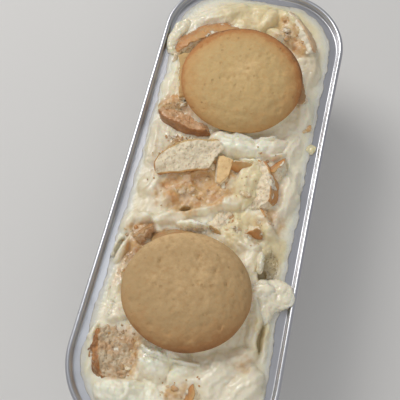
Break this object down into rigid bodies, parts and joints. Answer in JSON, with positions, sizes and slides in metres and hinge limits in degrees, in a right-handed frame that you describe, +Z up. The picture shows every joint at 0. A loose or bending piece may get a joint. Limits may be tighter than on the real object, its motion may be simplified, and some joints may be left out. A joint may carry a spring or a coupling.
{
  "type": "cream pudding with wafers in a loaf pan",
  "caption": "Cream pudding with whole and broken round wafers, filling a smooth-walled aluminium loaf pan with rounded ends, a lid ledge and a rolled rim.",
  "frame": {"origin": "on the table under the middle of the pan", "axes": "+Z up, +Y along the pan, towards the far wafer"},
  "size_m": [0.0658, 0.166, 0.0517],
  "materials": {
    "pan": "satin, smooth pressed foil",
    "cream": "soft, moist",
    "wafer": "dry, baked",
    "broken_wafer": "soaked at the edges, porous"
  },
  "bodies": {
    "root": {"pan": "pan", "cream": "cream", "wafer_far": "wafer", "wafer_near": "wafer", "fragment_far_left": "broken_wafer", "fragment_under_far_left": "broken_wafer", "fragment_under_far_right": "broken_wafer", "fragment_on_edge": "broken_wafer", "fragment_standing": "broken_wafer", "fragment_right": "broken_wafer", "fragment_near_left": "broken_wafer", "fragment_beside_near": "broken_wafer", "fragment_under_near": "broken_wafer", "fragment_far_right": "broken_wafer", "chip_middle": "broken_wafer", "chip_bar": "broken_wafer", "chip_right": "broken_wafer", "chip_ridge": "broken_wafer", "chip_right_low": "broken_wafer", "chip_right_near": "broken_wafer", "chip_near": "broken_wafer", "chip_on_ledge": "broken_wafer"}
  },
  "joints": []
}
